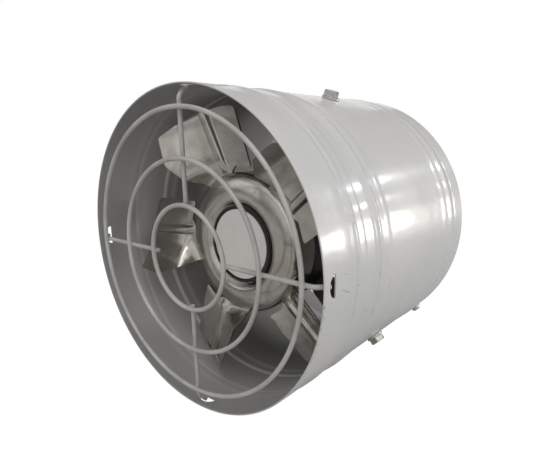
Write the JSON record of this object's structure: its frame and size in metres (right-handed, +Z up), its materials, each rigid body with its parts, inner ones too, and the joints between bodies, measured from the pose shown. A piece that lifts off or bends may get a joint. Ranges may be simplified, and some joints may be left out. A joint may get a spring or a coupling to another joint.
{
  "type": "in-line exhaust fan",
  "caption": "Round in-line exhaust fan: steel duct casing, wire inlet guard, and a pressed impeller on an external-rotor motor.",
  "frame": {"origin": "centre of the casing's front rim, on the tube's axis", "axes": "+Y along the tube's axis from the guard to the outlet, +Z up, +X to the right seen from behind the guard looking along +Y"},
  "size_m": [0.2048, 0.1967, 0.204],
  "materials": {
    "casing_paint": "semi-gloss pale grey paint",
    "guard_wire": "pale grey paint on wire",
    "impeller_metal": "satin pressed sheet",
    "black_plastic": "moulded black",
    "label_card": "plain off-white film",
    "motor_black": "satin black paint",
    "core_steel": "varnished laminations",
    "cage_aluminium": "cast",
    "cast_aluminium": "cast, satin",
    "bright_steel": "ground steel",
    "winding_copper": "varnished copper wire",
    "zinc_fasteners": "zinc plated",
    "gland_plastic": "moulded nylon",
    "gland_rubber": "soft seal"
  },
  "bodies": {
    "casing": {"bolt_washers": "zinc_fasteners", "bracket_nuts": "zinc_fasteners", "capacitor_strap": "zinc_fasteners", "casing_bolts": "zinc_fasteners", "casing_tube": "casing_paint", "earth_nut": "zinc_fasteners", "earth_screw": "zinc_fasteners", "earth_washer": "zinc_fasteners", "flange_screws": "zinc_fasteners", "front_bearing_balls": "bright_steel", "front_bearing_outer_race": "bright_steel", "gland_body": "gland_plastic", "gland_locknut": "gland_plastic", "gland_nut": "gland_plastic", "gland_seal": "gland_rubber", "guard_ring_inner": "guard_wire", "guard_ring_middle": "guard_wire", "guard_ring_outer": "guard_wire", "guard_spoke_bottom": "guard_wire", "guard_spoke_left": "guard_wire", "guard_spoke_right": "guard_wire", "guard_spoke_top": "guard_wire", "motor_bracket": "casing_paint", "rear_bearing_balls": "bright_steel", "rear_bearing_outer_race": "bright_steel", "run_capacitor": "black_plastic", "stator_core": "core_steel", "stator_flange": "cast_aluminium", "stator_winding": "winding_copper", "strap_screws": "zinc_fasteners"},
    "impeller": {"blade_1": "impeller_metal", "blade_2": "impeller_metal", "blade_3": "impeller_metal", "blade_4": "impeller_metal", "blade_5": "impeller_metal", "front_bearing_inner_race": "bright_steel", "hub_cap": "black_plastic", "hub_label": "label_card", "impeller_hub": "impeller_metal", "motor_shaft": "bright_steel", "rear_bearing_inner_race": "bright_steel", "retaining_ring": "bright_steel", "rotor_cage": "cage_aluminium", "rotor_can": "motor_black", "rotor_core": "core_steel"}
  },
  "joints": [
    {"name": "impeller_spin", "type": "hinge", "parent": "casing", "child": "impeller", "pos_m": [0, 0.07, 0], "axis": [0, -1, 0], "continuous": true}
  ]
}
